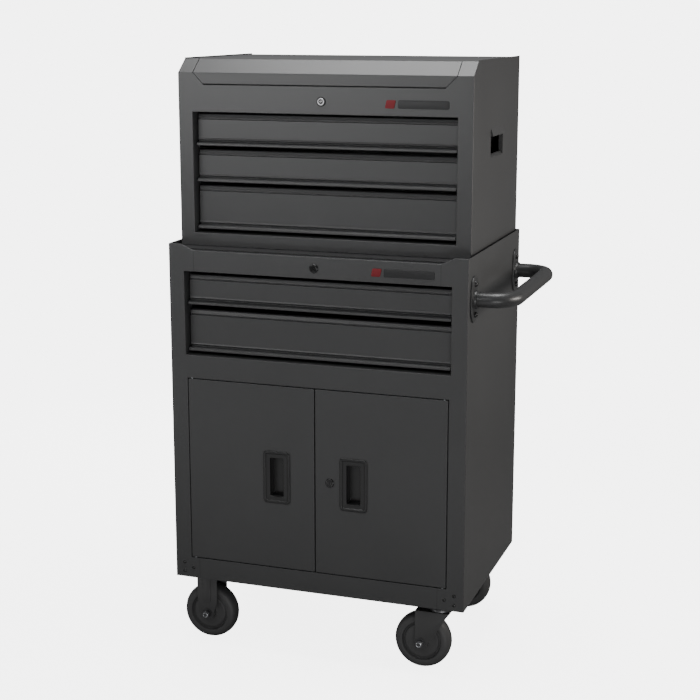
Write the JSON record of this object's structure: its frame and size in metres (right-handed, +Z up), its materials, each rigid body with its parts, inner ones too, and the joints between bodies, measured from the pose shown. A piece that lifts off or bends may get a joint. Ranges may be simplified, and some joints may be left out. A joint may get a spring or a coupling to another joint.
{
  "type": "rolling tool chest",
  "caption": "Sheet-steel tool chest with a lift-up lid, standing on a roller cabinet with drawers, doors, casters and a push handle.",
  "frame": {"origin": "on the floor, under the middle of the object's bounding box", "axes": "+Z up; the drawer fronts and doors face -Y; +X towards the side with the push handle"},
  "size_m": [0.7604, 0.4656, 1.3007],
  "materials": {
    "painted_steel": "satin fine-textured powder coat",
    "zinc_plated_steel": "zinc plated, semi-matte",
    "chrome_plate": "polished",
    "black_plastic": "fine grain, semi-matte",
    "caster_rubber": "matte",
    "liner_foam": "matte ribbed liner"
  },
  "bodies": {
    "cabinet": {"cabinet_front_frame": "painted_steel", "cabinet_right_side": "painted_steel", "cabinet_left_side": "painted_steel", "cabinet_back": "painted_steel", "cabinet_floor": "painted_steel", "cabinet_divider": "painted_steel", "cabinet_tray_top": "painted_steel", "tray_liner": "liner_foam", "cabinet_right_slide_bracket": "zinc_plated_steel", "cabinet_left_slide_bracket": "zinc_plated_steel", "right_door_hinge_rod": "zinc_plated_steel", "left_door_hinge_rod": "zinc_plated_steel", "cabinet_lock_barrel": "black_plastic", "push_handle": "painted_steel", "front_left_caster_fork": "painted_steel", "front_left_axle": "zinc_plated_steel", "rear_left_caster_fork": "painted_steel", "rear_left_axle": "zinc_plated_steel", "front_right_caster_plate": "zinc_plated_steel", "rear_right_caster_plate": "zinc_plated_steel", "chest_front_frame": "painted_steel", "chest_right_side": "painted_steel", "chest_left_side": "painted_steel", "chest_back": "painted_steel", "chest_floor": "painted_steel", "chest_till_floor": "painted_steel", "chest_right_slide_bracket": "zinc_plated_steel", "chest_left_slide_bracket": "zinc_plated_steel", "chest_lock_barrel": "chrome_plate", "lid_hinge_fixed_leaf": "painted_steel", "lid_hinge_pin": "zinc_plated_steel"},
    "cabinet_drawer_1": {"cabinet_drawer_1_front": "painted_steel", "cabinet_drawer_1_box": "painted_steel"},
    "cabinet_drawer_2": {"cabinet_drawer_2_front": "painted_steel", "cabinet_drawer_2_box": "painted_steel"},
    "chest_drawer_1": {"chest_drawer_1_front": "painted_steel", "chest_drawer_1_box": "painted_steel"},
    "chest_drawer_2": {"chest_drawer_2_front": "painted_steel", "chest_drawer_2_box": "painted_steel"},
    "chest_drawer_3": {"chest_drawer_3_front": "painted_steel", "chest_drawer_3_box": "painted_steel"},
    "lid": {"chest_lid": "painted_steel", "lid_hinge_moving_leaf": "painted_steel"},
    "left_door_leaf": {"left_door": "painted_steel", "left_door_pull": "black_plastic"},
    "right_door_leaf": {"right_door": "painted_steel", "right_door_pull": "black_plastic", "door_lock_barrel": "black_plastic"},
    "cabinet_lock_core": {"cabinet_lock_plug": "zinc_plated_steel"},
    "chest_lock_core": {"chest_lock_plug": "chrome_plate"},
    "door_lock_core": {"door_lock_plug": "zinc_plated_steel"},
    "front_swivel": {"front_right_caster_fork": "painted_steel", "front_right_axle": "zinc_plated_steel"},
    "rear_swivel": {"rear_right_caster_fork": "painted_steel", "rear_right_axle": "zinc_plated_steel"},
    "front_left_roller": {"front_left_wheel": "caster_rubber"},
    "front_right_roller": {"front_right_wheel": "caster_rubber"},
    "rear_left_roller": {"rear_left_wheel": "caster_rubber"},
    "rear_right_roller": {"rear_right_wheel": "caster_rubber"}
  },
  "joints": [
    {"name": "cabinet_drawer_1_slide", "type": "slide", "parent": "cabinet", "child": "cabinet_drawer_1", "axis": [0, -1, 0], "range_m": [0, 0.33]},
    {"name": "cabinet_drawer_2_slide", "type": "slide", "parent": "cabinet", "child": "cabinet_drawer_2", "axis": [0, -1, 0], "range_m": [0, 0.33]},
    {"name": "chest_drawer_1_slide", "type": "slide", "parent": "cabinet", "child": "chest_drawer_1", "axis": [0, -1, 0], "range_m": [0, 0.28]},
    {"name": "chest_drawer_2_slide", "type": "slide", "parent": "cabinet", "child": "chest_drawer_2", "axis": [0, -1, 0], "range_m": [0, 0.28]},
    {"name": "chest_drawer_3_slide", "type": "slide", "parent": "cabinet", "child": "chest_drawer_3", "axis": [0, -1, 0], "range_m": [0, 0.28]},
    {"name": "lid_hinge", "type": "hinge", "parent": "cabinet", "child": "lid", "pos_m": [-0.04776, 0.23024, 1.2942], "axis": [-1, 0, 0], "range_deg": [0, 100]},
    {"name": "left_door_hinge", "type": "hinge", "parent": "cabinet", "child": "left_door_leaf", "pos_m": [-0.33276, -0.22576, 0.40925], "axis": [0, 0, -1], "range_deg": [0, 110]},
    {"name": "right_door_hinge", "type": "hinge", "parent": "cabinet", "child": "right_door_leaf", "pos_m": [0.23724, -0.22576, 0.40925], "axis": [0, 0, 1], "range_deg": [0, 110]},
    {"name": "cabinet_lock_turn", "type": "hinge", "parent": "cabinet", "child": "cabinet_lock_core", "pos_m": [-0.04776, -0.22976, 0.873], "axis": [0, -1, 0], "range_deg": [0, 90]},
    {"name": "chest_lock_turn", "type": "hinge", "parent": "cabinet", "child": "chest_lock_core", "pos_m": [-0.04776, -0.18076, 1.2142], "axis": [0, -1, 0], "range_deg": [0, 90]},
    {"name": "door_lock_turn", "type": "hinge", "parent": "right_door_leaf", "child": "door_lock_core", "pos_m": [-0.01376, -0.22976, 0.41], "axis": [0, -1, 0], "range_deg": [0, 90]},
    {"name": "front_swivel", "type": "hinge", "parent": "cabinet", "child": "front_swivel", "pos_m": [0.22224, -0.17576, 0.141], "axis": [0, 0, 1], "continuous": true},
    {"name": "rear_swivel", "type": "hinge", "parent": "cabinet", "child": "rear_swivel", "pos_m": [0.22224, 0.17624, 0.141], "axis": [0, 0, 1], "continuous": true},
    {"name": "front_left_spin", "type": "hinge", "parent": "cabinet", "child": "front_left_roller", "pos_m": [-0.31776, -0.17576, 0.0625], "axis": [0, 1, 0], "continuous": true},
    {"name": "front_right_spin", "type": "hinge", "parent": "front_swivel", "child": "front_right_roller", "pos_m": [0.18324, -0.17576, 0.0625], "axis": [0, 1, 0], "continuous": true},
    {"name": "rear_left_spin", "type": "hinge", "parent": "cabinet", "child": "rear_left_roller", "pos_m": [-0.31776, 0.17624, 0.0625], "axis": [0, 1, 0], "continuous": true},
    {"name": "rear_right_spin", "type": "hinge", "parent": "rear_swivel", "child": "rear_right_roller", "pos_m": [0.18324, 0.17624, 0.0625], "axis": [0, 1, 0], "continuous": true}
  ]
}
